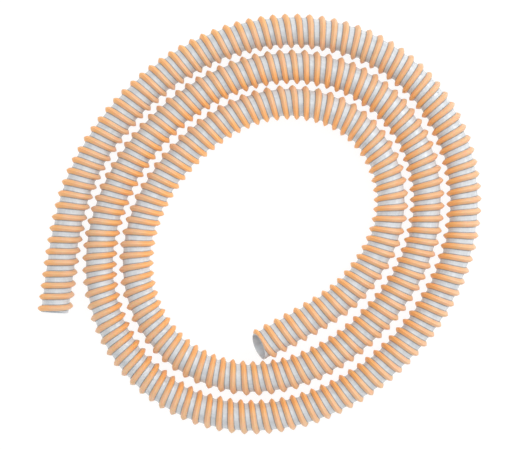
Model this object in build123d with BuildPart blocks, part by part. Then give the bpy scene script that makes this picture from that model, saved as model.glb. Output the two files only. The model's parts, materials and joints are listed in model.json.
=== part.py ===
from build123d import *
from math import ceil, cos, pi, radians, sin, tan
import os

# Clear suction and vacuum hose with a smooth bore, a thin flexible wall and a rigid helical rib
# bonded round the outside. It lies flat in a loose spiral coil of nearly three turns, wound
# clockwise from its outer end to its inner end as seen from above. Both ends are cut bare.
# The origin is on the surface that the hose lies on, under the middle of the coil. +Z is up.

# Hose section
BORE_DIAMETER = 38.1  # nominal 1 1/2 inch hose
WALL_THICKNESS = 1.2
RIB_HEIGHT = 5.75

BORE_RADIUS = BORE_DIAMETER / 2
WALL_RADIUS = BORE_RADIUS + WALL_THICKNESS
CREST_RADIUS = WALL_RADIUS + RIB_HEIGHT

# Coil: an oval spiral whose centre creeps, so the turns lie closer together on one side
COIL_CENTRE = (19.7, -15.2)
OUTER_TURN_RADIUS = 315.2
TURN_SPACING = 55.9
OVAL = 21.0
OVAL_DIRECTION = 48.8
CREEP = 2.4
CREEP_DIRECTION = -80.3
START_DIRECTION = 197.85
POINTS_PER_TURN = 24
FIRST_COIL_POINT = 3
LAST_COIL_POINT = 64

# The two ends leave the spiral and straighten, through these points
OUTER_END_POINTS = [(-305.5, -132.0), (-298.5, -76.0), (-290.0, -18.0), (-273.0, 54.0)]
INNER_END_POINTS = [(89.0, -134.0), (45.2, -158.8), (0.8, -182.3)]

# The hose flexes all along its length. Each end has two flexes of its own, at these distances
# from its mouth, where a short gap between stretches leaves room to bend.
FLEX_DISTANCES = (170.0, 420.0)
FLEX_GAP = 10.0

# At each mouth a straight piece of wall goes over a spigot, and the rib stops short of the cut
OUTER_MOUTH_LENGTH = 30.0
INNER_MOUTH_LENGTH = 27.0
OUTER_BARE_LENGTH = 4.0
INNER_BARE_LENGTH = 8.0

RIB_PIECE_LENGTH = 100.0  # the longest piece of rib that is made as one solid


def coil_point(step):
    """The corner of the route after so many steps round the spiral from its start."""
    turns = step / POINTS_PER_TURN
    direction = START_DIRECTION - 360 * turns
    radius = (
        OUTER_TURN_RADIUS
        - TURN_SPACING * turns
        + OVAL * cos(radians(2 * (direction - OVAL_DIRECTION)))
        - CREEP * turns * cos(radians(direction - CREEP_DIRECTION))
    )
    corner_radius = radius / cos(pi / POINTS_PER_TURN)
    x = COIL_CENTRE[0] + corner_radius * cos(radians(direction))
    y = COIL_CENTRE[1] + corner_radius * sin(radians(direction))
    return (x, y)


def route_points():
    """Every corner of the hose's centreline, from its outer end to its inner end."""
    coil = [coil_point(step) for step in range(FIRST_COIL_POINT, LAST_COIL_POINT + 1)]
    flat = OUTER_END_POINTS + coil + INNER_END_POINTS
    return [Vector(x, y, CREST_RADIUS) for x, y in flat]


def bend_radii(points):
    """At each corner, the largest bend that the two runs beside it allow."""
    radii = []
    for before, corner, after in zip(points, points[1:], points[2:]):
        turn = (corner - before).get_angle(after - corner)
        shorter_run = min((corner - before).length, (after - corner).length)
        radii.append(0.45 * shorter_run / tan(radians(turn / 2)))
    return radii


def tube(centreline, start, end, outer_radius, inner_radius):
    """A tube round the hose's centreline, between two distances along it."""
    piece = centreline.trim(start / centreline.length, end / centreline.length)
    with BuildPart() as solid:
        with BuildSketch(Plane(origin=piece @ 0, z_dir=piece % 0)):
            Circle(outer_radius)
            Circle(inner_radius, mode=Mode.SUBTRACT)
        sweep(path=piece)
    return solid.part


def wall(centreline, cuts):
    """The clear wall of one stretch, a solid between each distance and the next."""
    spans = zip(cuts, cuts[1:])
    return [tube(centreline, start, end, WALL_RADIUS, BORE_RADIUS) for start, end in spans]


def rib(centreline, start, end):
    """The plain outer shape of one stretch's helical rib, in pieces that meet face to face."""
    pieces = ceil((end - start) / RIB_PIECE_LENGTH)
    piece_length = (end - start) / pieces
    starts = [start + piece_length * i for i in range(pieces)]
    return [tube(centreline, at, at + piece_length, CREST_RADIUS, WALL_RADIUS) for at in starts]


corners = route_points()
with BuildLine() as route:
    FilletPolyline(*corners, radius=bend_radii(corners))
hose = route.wire()
length = hose.length
print("bend radii, mm:", [round(radius) for radius in bend_radii(corners)])
print("length along the centreline, mm:", round(length, 1))

# Where the hose flexes, in millimetres from its outer end and in order along it
outer_flexes = list(FLEX_DISTANCES)
inner_flexes = [length - distance for distance in reversed(FLEX_DISTANCES)]
for flex in outer_flexes + inner_flexes:
    place = hose.position_at(flex, position_mode=PositionMode.LENGTH)
    along = hose.tangent_at(flex, position_mode=PositionMode.LENGTH)
    print("flex at", round(flex, 1), tuple(place), "along", tuple(along))
print("outer mouth at", tuple(hose @ 0), "along", tuple(hose % 0))
print("inner mouth at", tuple(hose @ 1), "along", tuple(hose % 1))

# Each stretch stops half a gap short of a flex. In order along the hose, these are its name,
# the distances where its wall is cut, and where its rib starts and ends.
half_gap = FLEX_GAP / 2
outer_end_stop, coil_start = outer_flexes[0] - half_gap, outer_flexes[1] + half_gap
outer_bend_start, outer_bend_stop = outer_flexes[0] + half_gap, outer_flexes[1] - half_gap
coil_stop, inner_end_start = inner_flexes[0] - half_gap, inner_flexes[1] + half_gap
inner_bend_start, inner_bend_stop = inner_flexes[0] + half_gap, inner_flexes[1] - half_gap
stretches = [
    ("outer_end", [0, OUTER_MOUTH_LENGTH, outer_end_stop], OUTER_BARE_LENGTH, outer_end_stop),
    ("outer_bend", [outer_bend_start, outer_bend_stop], outer_bend_start, outer_bend_stop),
    ("coil", [coil_start, coil_stop], coil_start, coil_stop),
    ("inner_bend", [inner_bend_start, inner_bend_stop], inner_bend_start, inner_bend_stop),
    (
        "inner_end",
        [inner_end_start, length - INNER_MOUTH_LENGTH, length],
        inner_end_start,
        length - INNER_BARE_LENGTH,
    ),
]

os.makedirs("parts", exist_ok=True)
wall_section = pi * (WALL_RADIUS**2 - BORE_RADIUS**2)
for name, cuts, rib_start, rib_end in stretches:
    stretch_wall = Compound(label=f"{name}_wall", children=wall(hose, cuts))
    export_step(stretch_wall, f"parts/{name}_wall.step")
    stretch_rib = Compound(label=f"{name}_rib", children=rib(hose, rib_start, rib_end))
    export_step(stretch_rib, f"parts/{name}_rib.step")
    swept = wall_section * (cuts[-1] - cuts[0])
    print(name, "wall volume over section times length:", round(stretch_wall.volume / swept, 6))
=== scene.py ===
"""A length of clear vacuum hose with an orange helical rib, lying in a loose flat coil.

The hose is built along one smooth route, as a thin flexible wall and a rigid rib that winds round
it. Both are made in five stretches that meet midway between the places where the hose flexes: two
at each end, each holding one flex that nothing bends, and the coil between them, which is rigid.
"""

import json
from math import cos, pi, radians, sin

import bmesh
import bpy
import numpy as np
from mathutils import Matrix, Vector


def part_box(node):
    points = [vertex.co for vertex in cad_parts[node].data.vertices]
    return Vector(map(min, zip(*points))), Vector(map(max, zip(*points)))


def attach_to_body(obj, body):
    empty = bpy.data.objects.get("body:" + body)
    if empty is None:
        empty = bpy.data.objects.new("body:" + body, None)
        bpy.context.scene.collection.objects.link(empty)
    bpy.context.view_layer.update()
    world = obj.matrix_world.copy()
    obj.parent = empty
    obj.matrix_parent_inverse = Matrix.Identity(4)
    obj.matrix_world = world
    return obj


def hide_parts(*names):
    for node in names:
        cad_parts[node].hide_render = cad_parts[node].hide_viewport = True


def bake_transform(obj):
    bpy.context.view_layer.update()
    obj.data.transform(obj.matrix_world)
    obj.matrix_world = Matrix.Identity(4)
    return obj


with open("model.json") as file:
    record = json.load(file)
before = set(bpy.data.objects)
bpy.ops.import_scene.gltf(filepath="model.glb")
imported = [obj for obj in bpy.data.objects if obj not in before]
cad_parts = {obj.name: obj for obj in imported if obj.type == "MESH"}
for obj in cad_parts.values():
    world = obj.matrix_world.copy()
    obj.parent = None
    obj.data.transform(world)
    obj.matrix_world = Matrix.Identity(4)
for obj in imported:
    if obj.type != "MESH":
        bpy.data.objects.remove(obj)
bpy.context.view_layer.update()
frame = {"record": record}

# Hose section, in metres
MOUNTS = {mount["name"]: mount for mount in frame["record"]["mounts"]}
BORE_RADIUS = MOUNTS["outer_mouth"]["dims"]["r_mm"] / 1000
WALL_THICKNESS = 0.0012
WALL_RADIUS = BORE_RADIUS + WALL_THICKNESS
CREST_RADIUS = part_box("outer_end_rib")[1].z / 2
RIB_HEIGHT = CREST_RADIUS - WALL_RADIUS

# Route of the centreline, the same points as the CAD model's, in metres
COIL_CENTRE = (0.0197, -0.0152)
OUTER_TURN_RADIUS = 0.3152
TURN_SPACING = 0.0559
OVAL = 0.021
OVAL_DIRECTION = 48.8
CREEP = 0.0024
CREEP_DIRECTION = -80.3
START_DIRECTION = 197.85
POINTS_PER_TURN = 24
FIRST_COIL_POINT = 3
LAST_COIL_POINT = 64
OUTER_END_POINTS = [(-0.3055, -0.132), (-0.2985, -0.076), (-0.29, -0.018), (-0.273, 0.054)]
INNER_END_POINTS = [(0.089, -0.134), (0.0452, -0.1588), (0.0008, -0.1823)]

# The hose flexes at these distances from each mouth
FLEX_DISTANCES = (0.170, 0.420)
PATH_STEP = 0.004  # between points of the path that is worked out for each stretch

# Helical rib. Its sections, and the wall's, are numbered along it from the first one on top.
SECTIONS = 40  # to a turn
RIB_TURNS = 247
FIRST_RIB = 0.0075  # from the outer mouth to the rib's centre on top of the hose
LAST_RIB = 0.0093  # the same at the inner mouth
RIB_START = -16  # the sections under the hose where the rib starts and stops
RIB_STOP = RIB_TURNS * SECTIONS + 21
OVERHANG = 2 * SECTIONS  # how many sections the wall is made too long by, before its ends are cut
WANDERS = ((0.00022, 2.17, 0.0), (0.00018, 0.61, 1.3))  # height, radians to a turn and phase
RIB_HALF_WIDTH = 0.0044
RIB_POINTED = 1.1  # 1 is a straight-sided point and 2 is round
RIB_UPRIGHT = 2.0  # how upright the rib's flanks are at its foot
RIB_POINTS = 13
RIB_BEDDED = 0.00015  # how far the rib's foot is let into the wall
CUT_MARGIN = 0.0001  # how far the rib's cut is set back from the wall's at a mouth
PAINTED_SHADE_SWAP = (0.55, 0.85)  # between these distances the painted shade on the rib moves from the hose's outer flank to its inner flank

# Wall between two turns of rib, with a fillet at each foot
FOOT_FILLET = 0.0012
FOOT_RISE = 0.0004
FOOT_OVERLAP = 0.0003  # how far the fillet runs on under the rib
WALL_SAG = 0.00015
WALL_BUCKLE = 0.0007  # how far the wall folds in on the inside of the tightest bend
TIGHT_BEND = 0.12  # share by which the wall is shortened there

# How far each cut is out of square: skew about the vertical, lean with its top set back
OUTER_CUT_SKEW = radians(4.6)
OUTER_CUT_LEAN = radians(7)
INNER_CUT_SKEW = radians(-6)
INNER_CUT_LEAN = radians(20)
INNER_CUT_BEYOND = 0.0017  # how far the middle of the inner cut lies past the end of the route

# Camera, straight above the middle of the picture
VIEW_CENTRE = (0.0092, -0.0015)
VIEW_WIDTH = 0.793
LENS = 85  # millimetres
SENSOR = 36

# Floor, out to the horizon and a hair below the hose
FLOOR_REACH = 60.0
FLOOR_GAP = 0.0002


# ---------------------------------------------------------------------------------- the route


def coil_point(step):
    """The corner of the route after so many steps round the spiral from its start."""
    turns = step / POINTS_PER_TURN
    direction = START_DIRECTION - 360 * turns
    radius = (
        OUTER_TURN_RADIUS
        - TURN_SPACING * turns
        + OVAL * cos(radians(2 * (direction - OVAL_DIRECTION)))
        - CREEP * turns * cos(radians(direction - CREEP_DIRECTION))
    )
    corner_radius = radius / cos(pi / POINTS_PER_TURN)
    x = COIL_CENTRE[0] + corner_radius * cos(radians(direction))
    y = COIL_CENTRE[1] + corner_radius * sin(radians(direction))
    return (x, y)


def route_points():
    """Every control point of the hose's centreline, from its outer end to its inner end."""
    coil = [coil_point(step) for step in range(FIRST_COIL_POINT, LAST_COIL_POINT + 1)]
    return [(x, y, CREST_RADIUS) for x, y in OUTER_END_POINTS + coil + INNER_END_POINTS]


def read_route():
    """The points of the smooth spline through the route, as Blender gives them."""
    curve = bpy.data.curves.new("route", "CURVE")
    curve.dimensions = "3D"
    curve.resolution_u = 24
    spline = curve.splines.new("NURBS")
    places = route_points()
    spline.points.add(len(places) - 1)
    for point, place in zip(spline.points, places):
        point.co = (*place, 1)
    spline.order_u = 3
    spline.use_endpoint_u = True
    holder = bpy.data.objects.new("route", curve)
    mesh = bpy.data.meshes.new_from_object(holder)
    line = np.array([vertex.co for vertex in mesh.vertices], float)
    bpy.data.meshes.remove(mesh)
    bpy.data.curves.remove(curve)
    return line


class Route:
    """The hose's centreline by distance from its outer end. Past either end it runs straight on."""

    def __init__(self, line):
        steps = np.linalg.norm(np.diff(line, axis=0), axis=1)
        line = line[np.concatenate([[True], steps > 1e-7])]  # without repeated points
        steps = np.linalg.norm(np.diff(line, axis=0), axis=1)
        self.line = line
        self.at = np.concatenate([[0], np.cumsum(steps)])
        self.length = self.at[-1]
        slope = np.gradient(line, self.at, axis=0)
        self.heading = np.unwrap(np.arctan2(slope[:, 1], slope[:, 0]))

    def centre(self, distance):
        inside = np.clip(distance, 0, self.length)
        place = np.stack([np.interp(inside, self.at, axis) for axis in self.line.T], axis=-1)
        return place + (distance - inside)[..., None] * self.along(inside)

    def along(self, distance):
        angle = np.interp(distance, self.at, self.heading)
        return np.stack([np.cos(angle), np.sin(angle), 0 * angle], axis=-1)

    def right(self, distance):
        """The level direction to the right of the hose's run, seen from above."""
        along = self.along(distance)
        return np.stack([along[..., 1], -along[..., 0], along[..., 2]], axis=-1)

    def curvature(self, distance):
        """How fast the run turns right, in radians to a metre, evened out over a few ribs."""
        reach = 0.03
        before = np.interp(distance - reach, self.at, self.heading)
        after = np.interp(distance + reach, self.at, self.heading)
        return (before - after) / (2 * reach)


route = Route(read_route())
pitch = (route.length - FIRST_RIB - LAST_RIB) / RIB_TURNS


def rib_distance(section):
    """How far along the route the rib's centre is at a section. The rib wanders a little."""
    turn = section / SECTIONS
    wander = sum(height * np.sin(rate * turn + phase) for height, rate, phase in WANDERS)
    return FIRST_RIB + pitch * turn + wander


def on_hose(section, offset, radius):
    """The place at a section, so far along from the rib's centre and so far from the centreline."""
    angle = 2 * pi * section / SECTIONS
    distance = rib_distance(section) + offset
    up = np.cos(angle)[..., None] * np.array([0.0, 0.0, 1.0])
    across = np.sin(angle)[..., None] * route.right(distance)
    return route.centre(distance) + radius[..., None] * (up + across)


def seam_section(distance):
    """The section under the hose where the rib is nearest to a distance along the route."""
    turn = round((distance - FIRST_RIB) / pitch - 0.5)
    return int((turn + 0.5) * SECTIONS)


# ---------------------------------------------------------------------------------- meshes


def make_piece(name, vertices, faces, attributes):
    """A smooth-shaded mesh object with one value or vector to a point for each attribute."""
    mesh = bpy.data.meshes.new(name)
    mesh.from_pydata(vertices.tolist(), [], faces)
    for key, values in attributes.items():
        kind = "FLOAT_VECTOR" if values.ndim == 2 else "FLOAT"
        field = "vector" if values.ndim == 2 else "value"
        mesh.attributes.new(key, kind, "POINT").data.foreach_set(field, values.ravel())
    piece = bpy.data.objects.new(name, mesh)
    bpy.context.scene.collection.objects.link(piece)
    return piece


def cut_end(piece, place, outwards):
    """Cuts a piece off flush with a plane and closes the cut with a flat face."""
    work = bmesh.new()
    work.from_mesh(piece.data)
    whole = work.verts[:] + work.edges[:] + work.faces[:]
    cut = bmesh.ops.bisect_plane(
        work, geom=whole, dist=1e-6, plane_co=place, plane_no=outwards, clear_outer=True
    )
    edges = [item for item in cut["geom_cut"] if isinstance(item, bmesh.types.BMEdge)]
    bmesh.ops.triangle_fill(work, edges=edges, use_beauty=True, normal=outwards)
    bmesh.ops.recalc_face_normals(work, faces=work.faces[:])
    work.to_mesh(piece.data)
    work.free()


def finish_mesh(piece, material):
    """Shades a piece smooth but for its sharp edges, and gives it its material."""
    mesh = piece.data
    mesh.shade_smooth()
    mesh.set_sharp_from_angle(angle=radians(50))
    mesh.materials.append(material)


# Rib


def rib_profile():
    """The rib's outline, from foot to foot over its crest: offset along the hose and height."""
    outline = []
    for angle in np.linspace(0, pi, RIB_POINTS):
        side = 1 if cos(angle) < 0 else -1
        offset = side * RIB_HALF_WIDTH * abs(cos(angle)) ** (2 / RIB_POINTED)
        height = RIB_HEIGHT * sin(angle) ** (2 / RIB_UPRIGHT)
        outline.append((offset, height))
    outline[0] = (-RIB_HALF_WIDTH, -RIB_BEDDED)
    outline[-1] = (RIB_HALF_WIDTH, -RIB_BEDDED)
    return outline


def make_rib(name, first, last):
    """The rib's closed solid from one section to another."""
    outline = np.array(rib_profile())
    sections = np.arange(first, last + 1)
    count = len(outline)
    section, offset = np.meshgrid(sections, outline[:, 0], indexing="ij")
    height = np.broadcast_to(outline[:, 1], section.shape)
    vertices = on_hose(section, offset, WALL_RADIUS + height).reshape(-1, 3)
    faces = []
    for i in range(len(sections) - 1):
        for j in range(count):
            k = (j + 1) % count
            faces.append((i * count + j, i * count + k, (i + 1) * count + k, (i + 1) * count + j))
    faces.append(tuple(range(count))[::-1])
    faces.append(tuple(range((len(sections) - 1) * count, len(sections) * count)))
    run = section * (2 * pi * CREST_RADIUS / SECTIONS)
    place = np.stack([run, offset, height], axis=-1).reshape(-1, 3)
    # side: how much painted shade the rib takes here, most on one flank of the hose and none on top
    # or underneath; the shaded flank swaps from the outer side of the coil to the inner side
    side = np.sin(2 * pi * section / SECTIONS) * np.interp(rib_distance(section), PAINTED_SHADE_SWAP, (-1, 1))
    return make_piece(name, vertices, faces, {"hose_place": place, "side": side.ravel()})


# Wall


def wall_offsets():
    """Where the outside of the wall has its lines, over one pitch, from middle to middle."""
    foot = RIB_HALF_WIDTH
    fillet_end = foot + FOOT_FILLET
    between = (pitch / 2 + fillet_end) / 2
    side = [foot - FOOT_OVERLAP, foot + 0.4 * FOOT_FILLET, fillet_end, between]
    return np.array([-pitch / 2, *[-x for x in reversed(side)], 0.0, *side])


def wall_relief(section, offset):
    """How far the outside of the wall stands off its plain radius."""
    foot = np.abs(offset) - RIB_HALF_WIDTH
    fillet = FOOT_RISE * np.clip(1 - foot / FOOT_FILLET, 0, 1) ** 2
    free = np.clip((foot - FOOT_FILLET) / (pitch / 2 - RIB_HALF_WIDTH - FOOT_FILLET), 0, 1)
    bend = route.curvature(rib_distance(section)) * WALL_RADIUS
    shortened = bend * np.sin(2 * pi * section / SECTIONS)
    buckle = WALL_BUCKLE * np.clip(shortened / TIGHT_BEND, 0, 1)
    return np.where(foot < 0, FOOT_RISE, fillet) - (WALL_SAG + buckle) * np.sin(free * pi / 2)


def wall_skin(first, last, offsets, radius_of, start_index):
    """One skin of the wall as a strip that winds round the hose and joins on to itself.

    Returns its points, its faces, each point's hose_place and distance from the rib's foot, and a
    function that gives a point's number by its section and line.
    """
    lines = len(offsets)
    section, offset = np.meshgrid(np.arange(first, last + 1), offsets, indexing="ij")
    tail = np.arange(last + 1, last + SECTIONS + 1)
    section = np.concatenate([section.ravel(), tail])
    offset = np.concatenate([offset.ravel(), np.full(len(tail), offsets[0])])
    radius = radius_of(section, offset)
    vertices = on_hose(section, offset, radius)

    def number(i, line):
        if i <= last:
            return start_index + (i - first) * lines + line
        return start_index + (last - first + 1) * lines + (i - last - 1)

    faces = []
    for i in range(first, last):
        here = [number(i, line) for line in range(lines)] + [number(i + SECTIONS, 0)]
        ahead = [number(i + 1, line) for line in range(lines)] + [number(i + 1 + SECTIONS, 0)]
        faces += zip(here, here[1:], ahead[1:], ahead)
    run = rib_distance(section) + offset
    around = 2 * pi * section / SECTIONS
    place = np.stack([run, WALL_RADIUS * np.cos(around), WALL_RADIUS * np.sin(around)], axis=-1)
    from_rib = np.abs((offset + pitch / 2) % pitch - pitch / 2) - RIB_HALF_WIDTH
    return vertices, faces, place, from_rib, number


def make_wall(name, first, last):
    """The wall's closed solid, outside and bore, from one section to another."""

    def outside_radius(section, offset):
        return WALL_RADIUS + wall_relief(section, offset)

    def bore_radius(section, offset):
        return BORE_RADIUS + np.minimum(wall_relief(section, offset), 0)

    outside_offsets = wall_offsets()
    bore_offsets = np.array([-pitch / 2, -pitch / 6, pitch / 6])
    outside, faces, outside_place, outside_from_rib, outer = wall_skin(
        first, last, outside_offsets, outside_radius, 0
    )
    bore, bore_faces, bore_place, _, inner = wall_skin(
        first, last, bore_offsets, bore_radius, len(outside)
    )
    faces += [face[::-1] for face in bore_faces]
    # Each end is a rim that winds once round the hose, and a step one pitch long that closes it
    for start, flip in ((first, False), (last, True)):
        rim = []
        for i in range(start, start + SECTIONS):
            rim.append((outer(i, 0), outer(i + 1, 0), inner(i + 1, 0), inner(i, 0)))
        step = [outer(start, line) for line in range(len(outside_offsets))]
        step += [outer(start + SECTIONS, 0), inner(start + SECTIONS, 0)]
        step += [inner(start, line) for line in reversed(range(len(bore_offsets)))]
        rim.append(tuple(step[::-1]))
        faces += [face[::-1] for face in rim] if flip else rim
    vertices = np.concatenate([outside, bore])
    place = np.concatenate([outside_place, bore_place])
    from_rib = np.concatenate([outside_from_rib, np.full(len(bore), pitch)])
    return make_piece(name, vertices, faces, {"hose_place": place, "from_rib": from_rib})


# ---------------------------------------------------------------------------------- materials


class Nodes:
    """A material's nodes, added and joined with few words."""

    def __init__(self, name):
        self.material = bpy.data.materials.new(name)
        self.material.use_nodes = True
        self.tree = self.material.node_tree
        self.shader = self.tree.nodes["Principled BSDF"]

    def add(self, kind, inputs=None, **settings):
        node = self.tree.nodes.new(kind)
        for key, value in settings.items():
            setattr(node, key, value)
        for key, value in (inputs or {}).items():
            if isinstance(value, bpy.types.NodeSocket):
                self.tree.links.new(value, node.inputs[key])
            else:
                node.inputs[key].default_value = value
        return node

    def stretched(self, scale):
        """The hose_place attribute, stretched by a scale for each of its directions."""
        place = self.add("ShaderNodeAttribute", attribute_name="hose_place").outputs["Vector"]
        return self.add("ShaderNodeMapping", {"Vector": place, "Scale": scale}).outputs[0]

    def noise(self, scale, detail):
        """Noise with so many cells to a metre, in each direction, and so much detail."""
        inputs = {"Vector": self.stretched(scale), "Scale": 1.0, "Detail": detail}
        return self.add("ShaderNodeTexNoise", inputs).outputs["Fac"]

    def ramp(self, factor, low, high):
        """A colour between two, from the middle part of a noise."""
        ramp = self.add("ShaderNodeValToRGB", {"Fac": factor})
        for stop, position, colour in zip(ramp.color_ramp.elements, (0.3, 0.7), (low, high)):
            stop.position = position
            stop.color = (*colour, 1)
        return ramp.outputs["Color"]

    def mix(self, factor, first, second):
        node = self.add("ShaderNodeMix", data_type="RGBA")
        for socket, value in ((0, factor), (6, first), (7, second)):
            if isinstance(value, bpy.types.NodeSocket):
                self.tree.links.new(value, node.inputs[socket])
            else:
                node.inputs[socket].default_value = value
        return node.outputs[2]

    def span(self, factor, low, high):
        """A value from low to high as a factor goes from 0 to 1."""
        inputs = {"Value": factor, "To Min": low, "To Max": high}
        return self.add("ShaderNodeMapRange", inputs).outputs[0]

    def eased(self, attribute, start, stop, low, high):
        """A value that eases from low to high as an attribute goes from start to stop."""
        value = self.add("ShaderNodeAttribute", attribute_name=attribute).outputs["Fac"]
        inputs = {"Value": value, "From Min": start, "From Max": stop}
        inputs |= {"To Min": low, "To Max": high}
        return self.add("ShaderNodeMapRange", inputs, interpolation_type="SMOOTHSTEP").outputs[0]

    def bump(self, height, strength, distance):
        inputs = {"Height": height, "Strength": strength, "Distance": distance}
        self.join(self.add("ShaderNodeBump", inputs).outputs["Normal"], "Normal")

    def set(self, values):
        """Sets the shader's own sockets, for what is the same all over."""
        for socket, value in values.items():
            self.shader.inputs[socket].default_value = value

    def join(self, value, socket):
        self.tree.links.new(value, self.shader.inputs[socket])


def rib_material():
    """Satin orange vinyl, a little translucent, with faint draw lines along the rib, and painted
    shade that deepens the orange on one flank of the hose.
    """
    nodes = Nodes("orange_rib_vinyl")
    cloudy = nodes.noise((60, 60, 60), detail=3)
    colour = nodes.ramp(cloudy, (0.79, 0.445, 0.215), (0.83, 0.515, 0.30))
    blotches = nodes.noise((14, 40, 40), detail=2)
    colour = nodes.mix(nodes.span(blotches, 0.0, 0.35), colour, (0.87, 0.59, 0.39, 1))
    # Painted shade: deeper orange on one flank of the hose, paler on top
    painted_shade_flank = nodes.eased("side", -0.1, 0.85, 0.0, 0.9)
    colour = nodes.mix(painted_shade_flank, colour, (0.94, 0.46, 0.15, 1))
    nodes.join(colour, "Base Color")
    nodes.join(nodes.span(nodes.noise((90, 900, 900), detail=2), 0.36, 0.52), "Roughness")
    lines = nodes.noise((50, 2600, 1800), detail=2)
    peel = nodes.noise((700, 700, 700), detail=2)
    nodes.bump(nodes.mix(0.4, lines, peel), strength=0.18, distance=0.0004)
    nodes.set(
        {
            "Subsurface Weight": 0.35,
            "Subsurface Radius": (1.0, 0.42, 0.18),
            "Subsurface Scale": 0.004,
            "IOR": 1.5,
        }
    )
    return nodes.material


def wall_material():
    """Semi-clear bluish grey vinyl: hazy, glossy, with faint streaks along the hose, and painted
    shade along each foot of the rib.
    """
    nodes = Nodes("clear_wall_vinyl")
    haze = nodes.noise((45, 90, 90), detail=4)
    colour = nodes.ramp(haze, (0.565, 0.61, 0.65), (0.69, 0.73, 0.765))
    streaks = nodes.noise((9, 420, 420), detail=3)
    colour = nodes.mix(nodes.span(streaks, 0.0, 0.25), colour, (0.80, 0.825, 0.85, 1))
    # Painted shade: a dark grey line on the wall along each foot of the rib, where the rib shadows
    # it
    painted_foot_shade = nodes.eased("from_rib", 0.0002, 0.0016, 0.75, 0.0)
    colour = nodes.mix(painted_foot_shade, colour, (0.16, 0.165, 0.175, 1))
    nodes.join(colour, "Base Color")
    nodes.join(nodes.span(nodes.noise((160, 300, 300), detail=3), 0.18, 0.34), "Roughness")
    ripple = nodes.noise((110, 130, 130), detail=2)
    draw = nodes.noise((12, 900, 900), detail=2)
    nodes.bump(nodes.mix(0.35, ripple, draw), strength=0.22, distance=0.0008)
    nodes.set(
        {
            "Subsurface Weight": 0.8,
            "Subsurface Radius": (1.0, 1.0, 1.0),
            "Subsurface Scale": 0.002,
            "IOR": 1.5,
        }
    )
    return nodes.material


# ---------------------------------------------------------------------------------- the hose

length = route.length
first_flex, second_flex = FLEX_DISTANCES
half_spacing = (second_flex - first_flex) / 2
seam_distances = [first_flex + half_spacing, second_flex + half_spacing]
seam_distances += [length - distance for distance in reversed(seam_distances)]
seams = [seam_section(distance) for distance in seam_distances]
starts = [-OVERHANG, *seams]
stops = [*seams, RIB_TURNS * SECTIONS + OVERHANG]
names = ["outer_end", "outer_bend", "coil", "inner_bend", "inner_end"]

# Each stretch but the coil lies between two bodies about one flex, listed here; nothing bends it
flexes = {
    "outer_end": ("outer_end", "outer_bend", first_flex),
    "outer_bend": ("outer_bend", "coil", second_flex),
    "inner_bend": ("coil", "inner_bend", length - second_flex),
    "inner_end": ("inner_bend", "inner_end", length - first_flex),
}


def route_place(distance):
    """The centreline's place at a distance from the outer mouth."""
    return Vector(route.centre(np.array(distance)))


def route_along(distance):
    """The way the hose runs there, towards its inner end."""
    return Vector(route.along(np.array(distance)))


def cut_mouth(wall, rib, place, outwards, skew, lean):
    """Cuts a mouth, the rib a hair shorter than the wall so that their cuts don't clash."""
    level = Matrix.Rotation(skew, 3, "Z") @ outwards
    facing = level * cos(lean) + Vector((0, 0, 1)) * sin(lean)
    cut_end(wall, place, facing)
    cut_end(rib, place - CUT_MARGIN * facing, facing)


def attach(piece, name):
    """Lets a stretch's piece follow its one body; a piece with a flex is only baked where it lies.
    """
    if name not in flexes:
        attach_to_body(piece, name)
        return
    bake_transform(piece)


def declare_cord(name, start, stop):
    """Works out the path of a stretch of free hose, and does nothing with it. Its path runs to the
    hose's bare end if it has one.
    """
    distances = np.linspace(start, stop, round((stop - start) / PATH_STEP))
    path = route.centre(distances)
    if name == "outer_end":
        path = path[::-1]


def section_distance(section):
    """How far along the route a section is, and no further than either mouth."""
    return float(np.clip(rib_distance(np.array(float(section))), 0, length))


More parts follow.
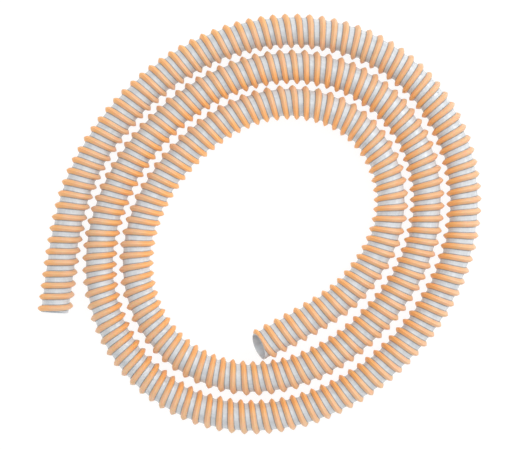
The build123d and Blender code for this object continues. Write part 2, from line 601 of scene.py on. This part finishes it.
wall_vinyl = wall_material()
rib_vinyl = rib_material()
for name, start, stop in zip(names, starts, stops):
    wall = make_wall(f"{name}_clear_wall", start, stop)
    rib = make_rib(f"{name}_orange_rib", max(start, RIB_START), min(stop, RIB_STOP))
    if name == "outer_end":
        cut_mouth(wall, rib, route_place(0), -route_along(0), OUTER_CUT_SKEW, OUTER_CUT_LEAN)
    if name == "inner_end":
        end = route_place(length + INNER_CUT_BEYOND)
        cut_mouth(wall, rib, end, route_along(length), INNER_CUT_SKEW, INNER_CUT_LEAN)
    finish_mesh(wall, wall_vinyl)
    finish_mesh(rib, rib_vinyl)
    attach(wall, name)
    attach(rib, name)
    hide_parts(f"{name}_wall")
    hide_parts(f"{name}_rib")
    declare_cord(name, section_distance(start), section_distance(stop))


# ---------------------------------------------------------------------------------- the studio


def make_floor():
    """A white floor that gives off most of its light itself, so it's white right up to the hose."""
    mesh = bpy.data.meshes.new("studio_floor")
    signs = ((-1, -1), (1, -1), (1, 1), (-1, 1))
    corners = [(x * FLOOR_REACH, y * FLOOR_REACH, 0) for x, y in signs]
    mesh.from_pydata(corners, [], [(0, 1, 2, 3)])
    floor = bpy.data.objects.new("studio_floor", mesh)
    floor.location.z = -FLOOR_GAP
    bpy.context.scene.collection.objects.link(floor)
    white = Nodes("studio_floor_white")
    white.set(
        {
            "Base Color": (0.14, 0.14, 0.14, 1),
            "Roughness": 0.9,
            "Specular IOR Level": 0.1,
            "Emission Color": (1, 1, 1, 1),
            "Emission Strength": 0.9,
        }
    )
    mesh.materials.append(white.material)


def make_light(name, place, size, power):
    """A white disc of light that faces the middle of the coil."""
    lamp = bpy.data.lights.new(name, "AREA")
    lamp.shape = "DISK"
    lamp.size = size
    lamp.energy = power
    holder = bpy.data.objects.new(name, lamp)
    holder.location = place
    holder.rotation_mode = "QUATERNION"
    holder.rotation_quaternion = (-Vector(place)).to_track_quat("-Z", "Y")
    bpy.context.scene.collection.objects.link(holder)


def make_studio():
    make_floor()
    make_light("key_light", (1.9, 1.2, 1.8), 1.4, 26)
    make_light("top_light", (0.3, 0.5, 2.6), 2.2, 16)
    world = bpy.data.worlds.new("studio")
    world.use_nodes = True
    background = world.node_tree.nodes["Background"]
    background.inputs["Color"].default_value = (1, 1, 1, 1)
    background.inputs["Strength"].default_value = 0.75
    bpy.context.scene.world = world
    bpy.context.scene.view_settings.view_transform = "Standard"


def make_camera():
    data = bpy.data.cameras.new("camera")
    data.sensor_width = SENSOR
    data.lens = LENS
    camera = bpy.data.objects.new("camera", data)
    camera.location = (*VIEW_CENTRE, CREST_RADIUS + VIEW_WIDTH * LENS / SENSOR)
    bpy.context.scene.collection.objects.link(camera)
    bpy.context.scene.camera = camera


make_studio()
make_camera()
